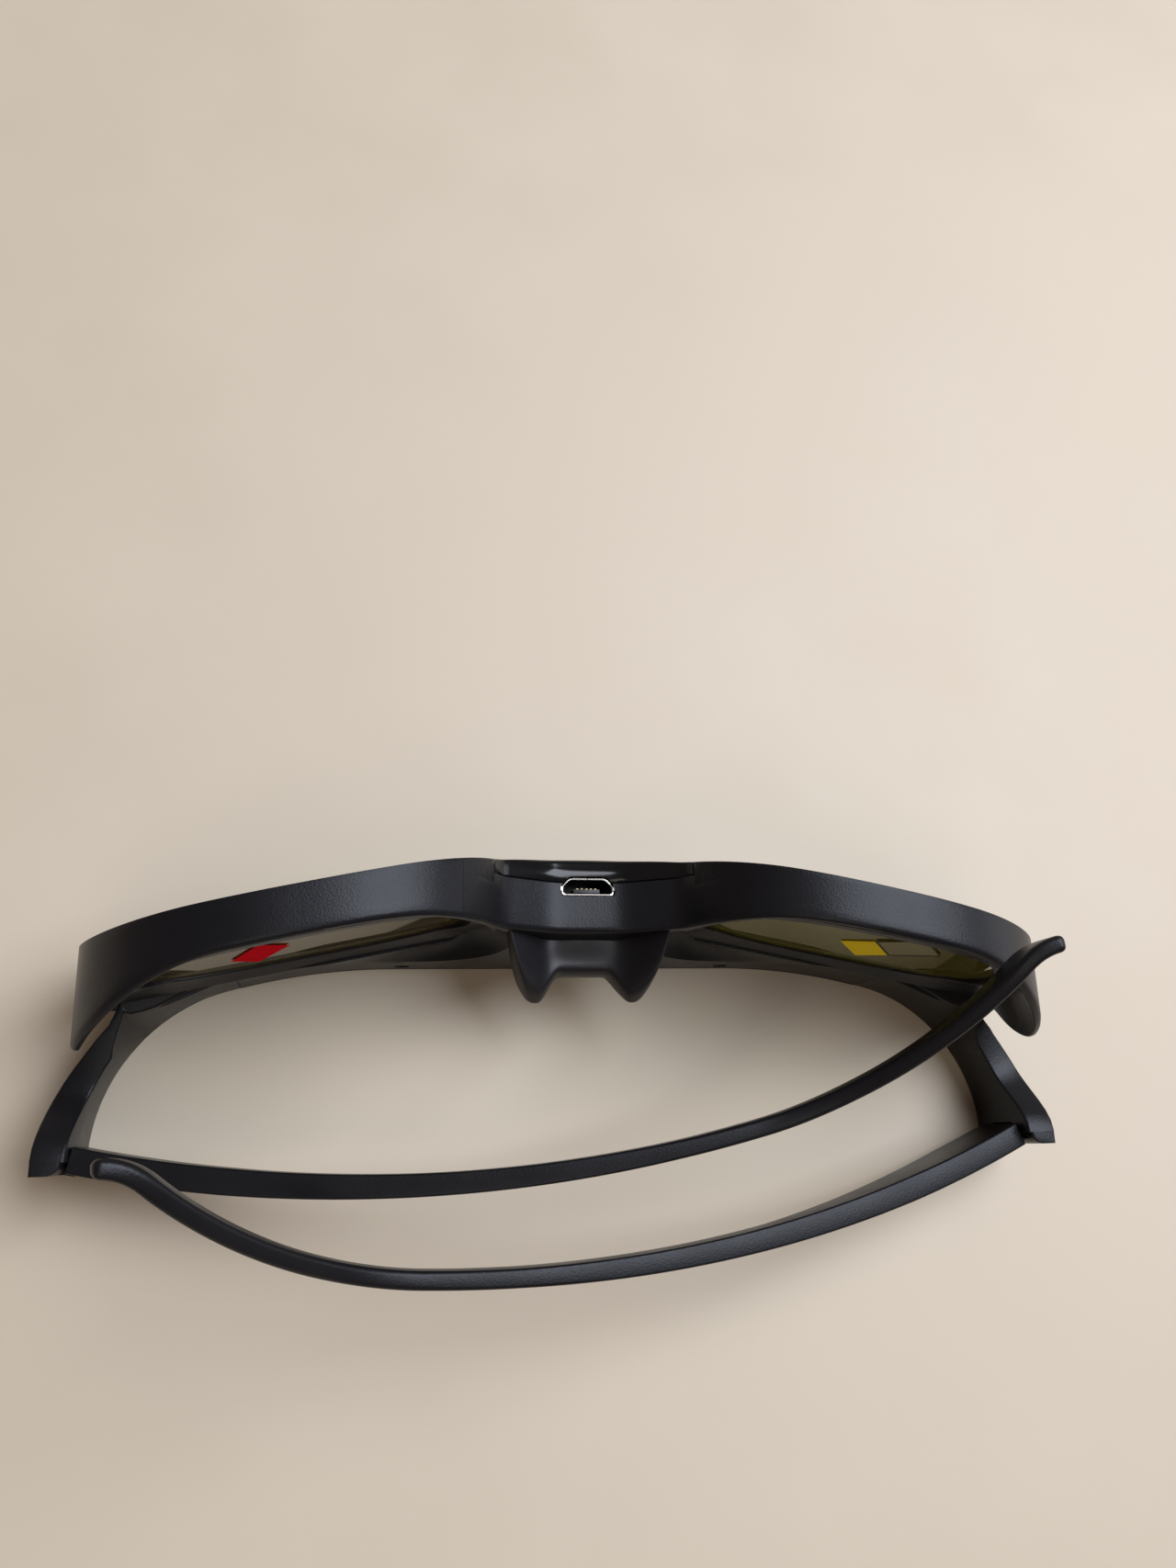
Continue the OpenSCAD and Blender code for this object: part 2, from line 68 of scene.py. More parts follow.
def arch(x):
    """Depth of the brow's rear face: straight in the middle, then an arc on both sides."""
    x = abs(x)
    return brow_rear - (arch_r - math.sqrt(arch_r ** 2 - (x - arch_flat) ** 2) if x > arch_flat else 0)


def rim_plane(x):
    """Depth of the flat, toed rear face of a rim."""
    return rim_rear - rim_toe * abs(x)


def ease(value, start, end):
    """0 before start, 1 after end and a smooth step between."""
    t = min(1, max(0, (value - start) / (end - start)))
    return t * t * (3 - 2 * t)


def rounded(low, high, soft, steps=4):
    """A rectangle between two corners with rounded corners, anticlockwise."""
    points = []
    for x, z, start in ((high[0] - soft, high[1] - soft, 0), (low[0] + soft, high[1] - soft, 90),
                        (low[0] + soft, low[1] + soft, 180), (high[0] - soft, low[1] + soft, 270)):
        for k in range(steps + 1):
            a = math.radians(start + 90 * k / steps)
            points.append((x + soft * math.cos(a), z + soft * math.sin(a)))
    return points


def end_wave(y):
    """Height of the bar's upper edge: level, a dip behind the rim, then the taller hinge block."""
    for y0, z0, y1, z1 in ((dip_start, bar_h, dip_y, dip_h), (dip_y, dip_h, pin_y, block_h)):
        if y1 <= y < y0:
            return z0 + (z1 - z0) * (1 - math.cos(math.pi * (y0 - y) / (y0 - y1))) / 2
    return bar_h if y >= dip_start else block_h


def bar_section(inner, outer, lean, soft, slope=0):
    """Section of the bar between a rear and a front point in plan, with a rear wall that may slope."""
    width = math.dist(inner, outer)
    tall = end_wave(inner[1])
    most_soft = width / 2.2
    points = []
    for w, z in rounded((0, 0), (width, tall), min(soft, most_soft)):
        t = (w + slope * z / tall * (w < width / 2)) / width
        x, y = inner[0] + (outer[0] - inner[0]) * t, inner[1] + (outer[1] - inner[1]) * t
        if z > tall / 2:
            z += end_wave(y) - tall
        points.append((x, y - lean * front_lean * z * t, z))
    return points


def bar_half():
    """Sections of the bar from the middle out to one hinge, where it ends square outside the pin."""
    turn_x = arch_end - end_r * math.sin(math.radians(arch_deg))
    turn_y = arch(arch_end) - end_r * math.cos(math.radians(arch_deg))
    sections = []
    for x in [bar_step * k for k in range(20)] + [cover_half]:
        rear = arch(x) + skin_t + seam
        slope = max(0, rim_plane(x) + ramp_lift - rear) * ease(x, ramp_from, ramp_to)
        sections.append(bar_section((x, rear), (x, front(x, 0) - bar_inset), 1, bar_soft, slope))
    for x in (cover_half + seam, 49, arch_end):
        sections.append(bar_section((x, arch(x)), (x, front(x, 0) - bar_inset), 1, bar_soft))
    # Places along the outside of the bar under the flap, each with the slope of the wall behind it.
    # The lean of the front fades out along them, and so does some of the softness of the edges.
    outside = [(54, front(54, 0), 0.1), (58, front(58, 0), 0.3), (61.5, front(61.5, 0), 0.2),
               (63.4, -3.9, 0.3), (65.0, -4.8, 0.4), (66.2, -6.2, 0.6), (66.8, -8.2, 1.2),
               (66.4, -10.2, 2.0), (62.9, -13.6, 3.0), (64.3, -16.5, 1.5), (65.9, -18.4, 0.7)]
    sweep = 90 - end_turn - arch_deg
    for k, (x, y, slope) in enumerate(outside, 1):
        a = math.radians(90 - arch_deg - sweep * k / len(outside))
        inner = (turn_x + end_r * math.cos(a), turn_y + end_r * math.sin(a))
        lean = max(0, min(1, 2 - k / 4))
        soft = bar_soft - 0.04 * k
        sections.append(bar_section(inner, (x, y), lean, soft, slope))
    steps = 12
    for k in range(1, steps + 1):
        a = math.radians(end_turn - end_turn * k / steps)
        thick = end_t - end_waist * (1 - ease(k, 0, 8))
        inner, outer = [(turn_x + r * math.cos(a), turn_y + r * math.sin(a)) for r in (end_r, end_r + thick)]
        sections.append(bar_section(inner, outer, 0, end_soft))
    sections.append(bar_section((inner[0], pin_y), (outer[0], pin_y), 0, end_soft))
    for turn in (1, 15, 30, 45, 60, 75, 88):
        x = pin_x - knuckle_r * math.cos(math.radians(turn))
        y = pin_y - knuckle_r * math.sin(math.radians(turn))
        sections.append(bar_section((x, y), (outer[0] - 0.02, y), 0, end_soft))
    return sections


def loft_rows(sections):
    """A solid whose end face is extruded to one section after another, and its rows of corners."""
    shape = bmesh.new()
    rows = [[shape.verts.new(place) for place in sections[0]]]
    end = shape.faces.new(rows[0])
    for section in sections[1:]:
        grown = bmesh.ops.extrude_face_region(shape, geom=[end, *end.edges, *end.verts])["geom"]
        end = next(part for part in grown if isinstance(part, bmesh.types.BMFace))
        rows.append(list(end.verts))
        for corner, place in zip(end.verts, section):
            corner.co = place
    return shape, rows


def loft(sections):
    """A solid through sections of equally many points."""
    return loft_rows(sections)[0]


def hinge_slot():
    """Room for a temple's tongue in the end piece, open to the rear and inward."""
    reach, low, high, room = 1.55, 4.8, 10.2, 6
    outside, inside, behind = pin_x + 4, pin_x - room, pin_y - room
    arc = [(pin_x + reach * math.cos(math.radians(a)), pin_y + reach * math.sin(math.radians(a)))
           for a in range(0, 91, 15)]
    plan = [(outside, behind), (outside, pin_y), *arc, (inside, pin_y + reach), (inside, behind)]
    return loft([[(x, y, z) for x, y in plan] for z in (low, high)])


def mirrored(shape):
    """A shape and its copy on the other side of the glasses."""
    copy = bmesh.ops.duplicate(shape, geom=shape.verts[:] + shape.edges[:] + shape.faces[:])["geom"]
    bmesh.ops.scale(shape, vec=(-1, 1, 1), verts=[v for v in copy if isinstance(v, bmesh.types.BMVert)])
    bmesh.ops.reverse_faces(shape, faces=[f for f in copy if isinstance(f, bmesh.types.BMFace)])
    return shape


def carved(shape, *tools):
    """A shape with other shapes cut out of it."""
    things = []
    for solid in (shape, *tools):
        bmesh.ops.recalc_face_normals(solid, faces=solid.faces)
        mesh = bpy.data.meshes.new("cut")
        solid.to_mesh(mesh)
        solid.free()
        things.append(bpy.data.objects.new("cut", mesh))
        bpy.context.collection.objects.link(things[-1])
    for tool in things[1:]:
        change = things[0].modifiers.new("cut", "BOOLEAN")
        change.operation = "DIFFERENCE"
        change.solver = "EXACT"
        change.object = tool
    bpy.context.view_layer.update()
    result = bpy.data.meshes.new_from_object(things[0].evaluated_get(bpy.context.evaluated_depsgraph_get()))
    out = bmesh.new()
    out.from_mesh(result)
    bpy.data.meshes.remove(result)
    for thing in things:
        bpy.data.meshes.remove(thing.data)
    return out


half_bar = bar_half()
mirror_bar = [[(-x, y, z) for x, y, z in section] for section in half_bar[:0:-1]]
bar = carved(loft(mirror_bar + half_bar), mirrored(hinge_slot()))


# Sill: a low edge of the same moulding that the rear cover stands on.
# It is seen as the line between the cover and the flat of the brow.
sill_h, sill_soft, sill_deep = 0.8, 0.3, skin_t + 1


def sill_section(x):
    """Section of the sill, drawn ten wide and pressed to its depth."""
    wide = 10
    return [(x, arch(x) + sill_deep * t / wide, z) for t, z in rounded((0, 0), (wide, sill_h), sill_soft)]


sill = loft([sill_section(2 * k - cover_half) for k in range(49)])


# Rims: two bands of the same moulding that stand round the lenses, thin-walled and with softened edges.
# At the sides they sweep back into rounded flaps, and inside they leave a flat seat for the rear cover.
pod_x, pod_z, pod_a, pod_b = 39.2, 15.5, 27.6, 24.9
pod_power, flap_a, flap_power = 2.5, 28.2, 2.1
lens_x, lens_z = 38.2, 24.8
open_a, open_up, open_down = 22.0 * math.cos(math.atan(rim_toe)), 14.3, 10.2
rim_wall, flap_wall, flap_start, flap_end = 1.3, 3.0, 54, 64
rim_low, rim_wide, rim_soft, least_seat = 10.2, 67.2, 0.45, 0.5
sweep_x, sweep_run, sweep_deep, sweep_power = 48, 18.6, 6.5, 2.2
under_y, under_rise, under_z, under_run = -21.2, 7.9, 23, 14
bezel_t, window_t, bridge_rear = 0.9, 2.0, -5.7
recess_side, recess_low = (13.4, 13.9), (10.6, 11)
level_sine, level_side = 0.22, (44, 56)
# Inset from the rim's outline and step below its top, across the rolled edge of the standing wall.
rolled_edge = ((rim_wall, 0.35), (rim_wall - 0.12, 0.1), (rim_wall - 0.35, 0), (0.75, 0),
               (0.35, 0.12), (0.1, 0.4), (0, 0.85))


def wall(x):
    """Thickness of a rim's standing wall, thin round the lens and thicker at the flap."""
    return rim_wall + (flap_wall - rim_wall) * ease(x, flap_start, flap_end)


def rim_tail(x, z):
    """Depth of a rim's rear edge, which sweeps back into a rounded flap at the side."""
    bridge_blend, flap_blend = 0.8, 1.2
    plane = rim_plane(x)
    plane = (plane + bridge_rear - math.hypot(plane - bridge_rear, bridge_blend)) / 2
    swept = plane - sweep_deep * max(0, (abs(x) - sweep_x) / sweep_run) ** sweep_power
    under = under_y + under_rise * (max(0, under_z - z) / under_run) ** 2
    return (swept + under + math.hypot(swept - under, flap_blend)) / 2


def opening(angle):
    """Distance from a lens centre to the edge of its opening, an arch over a flatter curve."""
    c, s = abs(math.cos(angle)), math.sin(angle)
    power, tall = (2.3, open_up) if s > 0 else (3.2, open_down)
    return ((c / open_a) ** power + (abs(s) / tall) ** power) ** (-1 / power)


def rim_edge(angle, lowest, widest):
    """Distance from a lens centre to the rim's outline, above a lowest line and inside a widest one."""
    c, s = math.cos(angle), math.sin(angle)
    low, high, halvings = 0.0, 60.0, 40
    for _ in range(halvings):
        r = (low + high) / 2
        x, z = lens_x + r * c - pod_x, lens_z + r * s - pod_z
        power, half = (pod_power, pod_a) if x < 0 else (flap_power, flap_a)
        inside = (abs(x) / half) ** power + (abs(z) / pod_b) ** power < 1
        low, high = (r, high) if inside else (low, r)
    if s < 0:
        low = min(low, (lowest - lens_z) / s)
    if c > 0:
        low = min(low, (widest - lens_x) / c)
    return low


def rim(outer, depths, soft, steps=240):
    """A closed band round a lens opening from rows of distance and depths across it, with softened edges."""
    sections = []
    for i in range(steps):
        angle = 2 * math.pi * i / steps
        reach = outer(angle)
        start = min(opening(angle), reach - wall(lens_x + reach * math.cos(angle)) - least_seat)
        back, face = [], []
        for r, rear, ahead in depths(start, reach, angle):
            x, z = lens_x + r * math.cos(angle), lens_z + r * math.sin(angle)
            back.append(Vector((x, rear(x, z), z)))
            face.append(Vector((x, ahead(x, z), z)))
        side = [back[-1].lerp(face[-1], t) for t in (0.14, 0.5, 0.86)]
        sections.append(back + side + face[::-1])
    count = len(sections[0])
    shape, rows = loft_rows(sections + sections[:1])
    ends = [f for f in shape.faces if len(f.verts) == count]
    bmesh.ops.delete(shape, geom=ends, context="FACES_ONLY")
    bmesh.ops.weld_verts(shape, targetmap=dict(zip(rows[-1], rows[0])))
    bmesh.ops.recalc_face_normals(shape, faces=shape.faces)
    rows[-1] = rows[0]
    lines = (0, count - len(face), count - 1)
    edges = [shape.edges.get((a[line], b[line])) for a, b in zip(rows, rows[1:]) for line in lines]
    bmesh.ops.bevel(shape, geom=edges, offset=soft, offset_type="OFFSET", segments=3, profile=0.5,
                    affect="EDGES", clamp_overlap=True, material=-1)
    return shape


def band(start, reach, angle):
    """Rows across the moulding's rim: a seat for the cover and a thin wall that stands up round it."""
    x, z = lens_x + reach * math.cos(angle), lens_z + reach * math.sin(angle)
    floor = rim_plane(x) + bezel_t + seam
    stand = 1 - ease(-math.sin(angle), 0, level_sine) * (1 - ease(x, *level_side))
    edge = floor + (rim_tail(x, z) - floor) * stand
    seat = reach - wall(x) - 0.1

    def seat_rear(x, z):
        return rim_plane(x) + bezel_t + seam

    def ahead(x, z):
        recess = (1 - ease(x, *recess_side)) * ease(z, *recess_low)
        return front(x, z) - (window_t + seam) * recess

    steps = 12
    rows = [(start + (seat - start) * k / steps, seat_rear, ahead) for k in range(steps + 1)]
    for inset, step in rolled_edge:
        rows.append((reach - inset, lambda x, z, step=step: edge + step, ahead))
    return rows


rims = mirrored(rim(lambda a: rim_edge(a, rim_low, rim_wide), band, rim_soft))


# Bridge: the middle of the same moulding, whose underside is level and rises into both rims.
# A slot through it takes the charging socket, and cheeks beside the window bring its front up to the rims.
bridge_flat, bridge_h, bridge_half, bridge_rise = 5.0, 22.8, 18.5, 0.53
bridge_low, bridge_thin, thin_side, bridge_soft, bridge_edge = 9, 2, (9.5, 11.5), 0.9, 0.15
cheek_soft, cheek_inset = 0.1, 0.02
window_half, lip_y = 13.7, 1.5
usb_y, usb_w, usb_h, usb_slant, usb_room = 0.86, 7.5, 2.5, 1.1, 0.14


def bridge_top(x):
    """Height of the bridge's underside: level in the middle, rising and rounding into the rims."""
    x = abs(x)
    blend = 1.2
    slope = bridge_h + bridge_rise * (x - bridge_flat + math.sqrt((x - bridge_flat) ** 2 + 2)) / 2
    if x < pod_x - pod_a + 0.2:
        return slope
    rim_top = pod_z + pod_b * (1 - ((pod_x - x) / pod_a) ** pod_power) ** (1 / pod_power)
    return blend * math.log(math.exp(slope / blend) + math.exp(rim_top / blend))


def bridge_layer(start, end, rear, front_at, soft, steps=48):
    """A layer of the bridge between two sides, under its sloping underside, with a rounded rear edge."""
    sections = []
    for k in range(steps + 1):
        x = start + (end - start) * k / steps
        top = bridge_top(x)
        low = bridge_low + (top - bridge_thin - bridge_low) * ease(abs(x), *thin_side)
        points = [(rear, low), (rear, (low + top) / 2)]
        for turn in range(0, 91, 15):
            a = math.radians(turn)
            points.append((rear + soft - soft * math.cos(a), top - soft + soft * math.sin(a)))
        face = front_at(x, top)
        points += [(rear + (face - rear) * t, top) for t in (0.35, 0.7)]
        points += [(face - bridge_edge, top), (face, top - bridge_edge), (front_at(x, low), low)]
        sections.append([(x, y, z) for y, z in points])
    return loft(sections)


def usb_outline(grow, soft=0.5):
    """Outline of the charging socket: wide toward the wearer, with two slanting corners in front."""
    w, h, s = usb_w / 2, usb_h / 2, usb_slant
    corners = [Vector(p) for p in ((-w, -h), (w, -h), (w, 0), (w - s, h), (s - w, h), (-w, 0))]
    points = []
    for before, corner, after in zip(corners[-1:] + corners, corners, corners[1:] + corners[:1]):
        a = corner + (before - corner).normalized() * soft
        b = corner + (after - corner).normalized() * soft
        for t in (0, 0.25, 0.5, 0.75, 1):
            p = a * (1 - t) ** 2 + corner * 2 * t * (1 - t) + b * t * t
            points.append((p.x * (1 + grow / w), usb_y + p.y * (1 + grow / h)))
    return points


def usb_gap():
    """Room for the charging socket, from inside the bridge to well below it."""
    low, high = 15, 32
    return loft([[(x, y, z) for x, y in usb_outline(usb_room)] for z in (low, high)])


bridge = bridge_layer(-bridge_half, bridge_half, bridge_rear, lambda x, z: lip_y - seam, bridge_soft)
bridge = carved(bridge, usb_gap())
cheeks = mirrored(bridge_layer(window_half + seam, bridge_half, 0, lambda x, z: front(x, z) - cheek_inset,
                               cheek_soft, 12))


# Front moulding: bar, sill, rims, bridge and cheeks come out of one mould as a single black piece.
# The mould's steel is spark-textured, which gives the plastic its satin face.
def linear(colour):
    """A web colour as linear red, green, blue and alpha."""
    channels = [int(colour[i:i + 2], 16) / 255 for i in (1, 3, 5)]
    return [c / 12.92 if c < 0.04045 else ((c + 0.055) / 1.055) ** 2.4 for c in channels] + [1.0]


def add_node(tree, kind, inputs=None, **settings):
    """A shader node with its settings, whose inputs are values or other nodes' outputs."""
    node = tree.nodes.new(kind)
    for key, value in settings.items():
        setattr(node, key, value)
    for key, value in (inputs or {}).items():
        if isinstance(value, bpy.types.NodeSocket):
            tree.links.new(value, node.inputs[key])
        else:
            node.inputs[key].default_value = value
    return node


def surface(name, colour, dark, roughness, grain_mm, relief_mm, **sockets):
    """A material that mottles between two colours, with a fine grain of a real size."""
    cloud_mm, spread = 40 * grain_mm, 0.12
    material = bpy.data.materials.new(name)
    material.use_nodes = True
    tree = material.node_tree
    shader = tree.nodes["Principled BSDF"]
    place = add_node(tree, "ShaderNodeTexCoord").outputs["Object"]
    grain = add_node(tree, "ShaderNodeTexNoise", {"Vector": place, "Scale": 1000 / grain_mm, "Detail": 3.0})
    cloud = add_node(tree, "ShaderNodeTexNoise", {"Vector": place, "Scale": 1000 / cloud_mm, "Detail": 4.0})
    tint = add_node(tree, "ShaderNodeMix", {0: cloud.outputs["Fac"], 6: linear(dark), 7: linear(colour)},
                    data_type="RGBA")
    polish = add_node(tree, "ShaderNodeMapRange", {
        "Value": cloud.outputs["Fac"], "From Min": 0.3, "From Max": 0.7,
        "To Min": roughness * (1 - spread), "To Max": min(1, roughness * (1 + spread))})
    bump = add_node(tree, "ShaderNodeBump", {
        "Height": grain.outputs["Fac"], "Strength": 1.0, "Distance": relief_mm / 1000})
    tree.links.new(tint.outputs[2], shader.inputs["Base Color"])
    tree.links.new(polish.outputs["Result"], shader.inputs["Roughness"])
    tree.links.new(bump.outputs["Normal"], shader.inputs["Normal"])
    for key, value in sockets.items():
        shader.inputs[key.replace("_", " ")].default_value = value
    return material


def joined(*shapes):
    """Several shapes as one."""
    whole = bmesh.new()
    for shape in shapes:
        mesh = bpy.data.meshes.new("part")
        shape.to_mesh(mesh)
        whole.from_mesh(mesh)
        bpy.data.meshes.remove(mesh)
        shape.free()
    return whole


def piece(name, shape, material, body, replaced=(), sharp_deg=32):
    """Finishes a shape drawn in millimetres as an object that rides on a body."""
    bmesh.ops.scale(shape, vec=(0.001, 0.001, 0.001), verts=shape.verts)
    bmesh.ops.recalc_face_normals(shape, faces=shape.faces)
    mesh = bpy.data.meshes.new(name)
    shape.to_mesh(mesh)
    shape.free()
    mesh.materials.append(material)
    mesh.shade_smooth()
    mesh.set_sharp_from_angle(angle=math.radians(sharp_deg))
    thing = bpy.data.objects.new(name, mesh)
    bpy.context.collection.objects.link(thing)
    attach(thing, body)
    if replaced:
        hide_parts(*replaced)
    return thing


# Satin ABS: almost black, with broad soft highlights that a fine grain breaks up.
# Such a grain is about 0.05 mm wide, too fine to show, so it is drawn 0.25 mm wide.
black_plastic = surface("Satin black ABS", "#151518", "#0e0e11", roughness=0.36, grain_mm=0.25,
                        relief_mm=0.032, Specular_IOR_Level=0.28, Specular_Tint=linear("#e2e6ea"))
piece("front_moulding", joined(bar, sill, rims, bridge, cheeks), black_plastic, "frame", ["front_frame"])


# Rear cover: a thin moulding of the same plastic that holds the lenses from behind, with two screws.
# Flat bezels lie round the lenses, and a skin over the brow falls in to them as an oval hollow on each side.
cover_low, cover_wide, bezel_soft, bezel_bite = bar_h, 67, 0.15, 0.25
hollow_x, hollow_z, hollow_half, hollow_low, hollow_high, hollow_edge = 26, 18, 16, 10.3, 11, 0.32
hollow_thin, floor_rise, floor_proud, floor_dive = 0.6, 0.15, 0.4, 0.85
foot_rise, foot_end = 4.1, 44
skin_low, skin_foot, skin_high, skin_bridge, skin_lean = 0.9, 1.1, 12.6, 14.1, 2
bridge_from, bridge_to = 14.5, 18
screw_x, screw_z, screw_r = 24.8, 3.1, 1.15


def bezel_rows(start, reach, angle):
    """Rows across a bezel, which slopes down to the lens along its lower side."""
    sunk = (bezel_t + 0.1) * ease(-math.sin(angle), 0.1, 0.5)
    steps = 8
    rows = []
    for k in range(steps + 1):
        rear = sunk * (1 - k / steps)
        rows.append((start + (reach - start) * k / steps, lambda x, z, rear=rear: rim_plane(x) + rear,
                     lambda x, z: rim_plane(x) + bezel_t + bezel_bite))
    return rows


def bezel_edge(angle):
    """Distance from a lens centre to a bezel's edge, inside the rim's wall."""
    reach = rim_edge(angle, cover_low, cover_wide)
    return reach - (wall(lens_x + reach * math.cos(angle)) if math.sin(angle) > -0.3 else 0)


def dish(x, z):
    """How far the cover falls in toward the lens: 0 on the edge of its hollow, 1 on the hollow's floor."""
    if x < hollow_x:
        half = hollow_low if z < hollow_z else hollow_high
        reach = math.hypot((hollow_x - x) / hollow_half, (z - hollow_z) / half)
    else:
        reach = (hollow_z - z + foot_rise * ease(x, hollow_x, foot_end)) / hollow_low
    t = min(1, max(0, (1 - reach) / hollow_edge))
    return t * (2 - t)


def skin_section(x):
    """Section of the skin: an upright foot, a wall that leans up to the bridge, and the hollow."""
    a = abs(x)
    end = math.sqrt(max(0.001, 1 - (max(0, hollow_x - a) / hollow_half) ** 2))
    top = skin_high + (bridge_top(min(a, bridge_to)) - skin_bridge) * (1 - ease(a, bridge_from, bridge_to))
    low = hollow_z - hollow_low * end + foot_rise * ease(a, hollow_x, foot_end)
    high = min(hollow_z + hollow_high * end, top - 0.4)
    heights = [skin_foot + (low - skin_foot) * k / 4 for k in range(4)]
    heights += [low + (high - low) * k / 14 for k in range(14)]
    heights += [high + (top - high) * k / 4 for k in range(5)]
    inner = ease(a, 13.5, 16.4)
    rear, back = [(arch(x) + 0.2, skin_low)], [(arch(x) + skin_t, skin_low)]
    for z in heights:
        floor = rim_plane(x) + floor_rise - floor_proud * ease(a, 16.5, 19)
        floor += floor_dive * inner * ease(z, 12.4, 15)
        upright = arch(x) + skin_lean * ease(z, 8, 25) * (1 - ease(a, 20, 30))
        upright += (floor - upright) * inner * ease(z, 16, 20)
        deep = dish(a, z)
        y = upright + (floor - upright) * deep
        rear.append((y, z))
        back.append((y + skin_t - hollow_thin * deep, z))
    return [(x, y, z) for y, z in rear + back[::-1]]


def screw_hole(side):
    """A round hole in the skin over a screw."""
    turns = [math.radians(15 * k) for k in range(24)]
    return loft([[(side * screw_x + screw_r * math.cos(a), y, screw_z + screw_r * math.sin(a)) for a in turns]
                 for y in (-9, -6.7)])


bezels = mirrored(rim(bezel_edge, bezel_rows, bezel_soft))
skin = loft([skin_section(0.5 * k - cover_half) for k in range(193)])
skin = carved(skin, screw_hole(-1), screw_hole(1))
piece("rear_moulding", joined(bezels, skin), black_plastic, "frame", ["rear_cover"])


# Bridge window: dark plastic that lets infra-red through, moulded with a polished face.
# It is set into the front of the bridge and wraps onto the underside as a lip, cut round the socket.
lip_t, window_over = 1.0, 1.4


def window_section(x):
    """Section of the window: the front layer, a rounded lower edge and the lip."""
    low, top = bar_h - window_over, bridge_top(x)
    middle = (low + top) / 2
    turn = 0.4 + 0.7 * (1 - ease(abs(x), 1, 12))
    crown = 0.3 - 0.25 * ease(abs(x), 5, 12)
    points = [(front(x, low) - window_t, low), (front(x, low), low), (front(x, middle), middle)]
    edge = front(x, top - turn)
    for k in range(7):
        a = math.radians(15 * k)
        points.append((edge - turn + turn * math.cos(a), top - crown - turn + turn * math.sin(a)))
    back = min(lip_y, front(x, top) - window_t)
    for u in (-0.6, -0.2, 0.2, 0.6, 0.9):
        points.append((edge - turn + (back - edge + turn) * (u + 1) / 2, top - crown * u * u))
    points += [(back, top - crown - 0.1), (back, top - lip_t), (front(x, top) - window_t + 0.1, top - lip_t)]
    return [(x, y, z) for y, z in points]


window = carved(loft([window_section(window_half * (k / 24 - 1)) for k in range(49)]), usb_gap())
# Polished plastic: black with crisp reflections, against the satin of the moulding beside it.
gloss_black = surface("Gloss black window plastic", "#0d0f12", "#08090b", roughness=0.17, grain_mm=0.5,
                      relief_mm=0.0005, Specular_IOR_Level=0.35)
piece("bridge_window", window, gloss_black, "frame", ["sensor_window"])


# Temples: tapering arms in the black plastic of the front, curved round the head and bent at the ear.
# Each is swept along the line of its solid, from a tongue on the hinge pin to a rounded tip.
temple_r, temple_run = 198.0, 91.4
ear_r, ear_run = 51.0, 34.0
flare_r, flare_run = 7.0, 6.0
temple_len = temple_run + ear_run + flare_run
root_gap, root_shift, root_top = 2.2, 0.66, 12.7
tongue_r, tongue_low, tongue_high, tongue_bite = 1.3, 5.0, 10.0, 0.6
tip_run, root_soft, tip_soft = 1.4, 0.35, 0.4
right_fold, left_fold = 12.2, 22.8
# Each stop is a place along the temple and the size there: rise in degrees, thickness and height.
rise_stops = [(0, 7.8), (90, 7.8), (105, 39), (122, 39), (temple_len, 10)]
thick_stops = [(0, 3.38), (20, 3.38), (80, 2.38), (temple_len, 2.18)]
tall_stops = [(0, 10.4), (10, 10.4), (44, 4), (temple_run, 4), (temple_len, 5.6)]


def taper(s, stops):
    """A size that changes evenly between stops along a temple."""
    for (s0, v0), (s1, v1) in zip(stops, stops[1:]):
        if s <= s1:
            return v0 + (v1 - v0) * (s - s0) / (s1 - s0)
    return stops[-1][1]


def temple_line(step):
    """Places along a temple: run from the pin, offset outward, turn, and height of the upper edge."""
    def turned(s):
        return (min(s, temple_run) / temple_r + max(0, min(s - temple_run, ear_run)) / ear_r
                - max(0, s - temple_run - ear_run) / flare_r)

    u, v, z, s = root_gap, -root_shift, root_top, 0.0
    places = []
    while s <= temple_len + 1e-6:
        places.append((s, u, v, turned(s), z))
        turn = turned(s + step / 2)
        rise = taper(s, rise_stops)
        u += step * math.cos(turn)
        v -= step * math.sin(turn)
        z += step * math.tan(math.radians(rise))
        s += step
    return places


def temple_shape(side, fold_deg):
    """One temple, with its tongue round the pin, folded by an angle behind the X axis."""
    sections = []
    line = temple_line(0.25)
    for s, u, v, turn, z in line[:-16:4] + line[-16:]:
        thick, tall = taper(s, thick_stops), taper(s, tall_stops)
        shrink = math.sqrt(max(0.01, 1 - max(0, (s - temple_len + tip_run) / tip_run) ** 2))
        soft = root_soft + tip_soft * ease(s, 60, 110)
        section = []
        for d, h in rounded((-thick / 2, -tall), (thick / 2, 0), soft):
            d, h = d * shrink, (h + tall / 2) * shrink - tall / 2
            section.append((u + d * math.sin(turn), v + d * math.cos(turn), z + h))
        sections.append(section)
    turns = [math.radians(a) for a in range(90, 271, 15)]
    plan = [(tongue_r * math.cos(a), tongue_r * math.sin(a)) for a in turns]
    inside = root_gap + tongue_bite
    plan = [(inside, tongue_r), *plan, (inside, -tongue_r)]
    tongue = loft([[(x, y, z) for x, y in plan] for z in (tongue_low, tongue_high)])
    shape = joined(loft(sections), tongue)
    bmesh.ops.rotate(shape, matrix=Matrix.Rotation(math.radians(180 + fold_deg), 3, "Z"), verts=shape.verts)
    bmesh.ops.translate(shape, vec=(pin_x, pin_y, 0), verts=shape.verts)
    bmesh.ops.scale(shape, vec=(side, 1, 1), verts=shape.verts)
    return shape


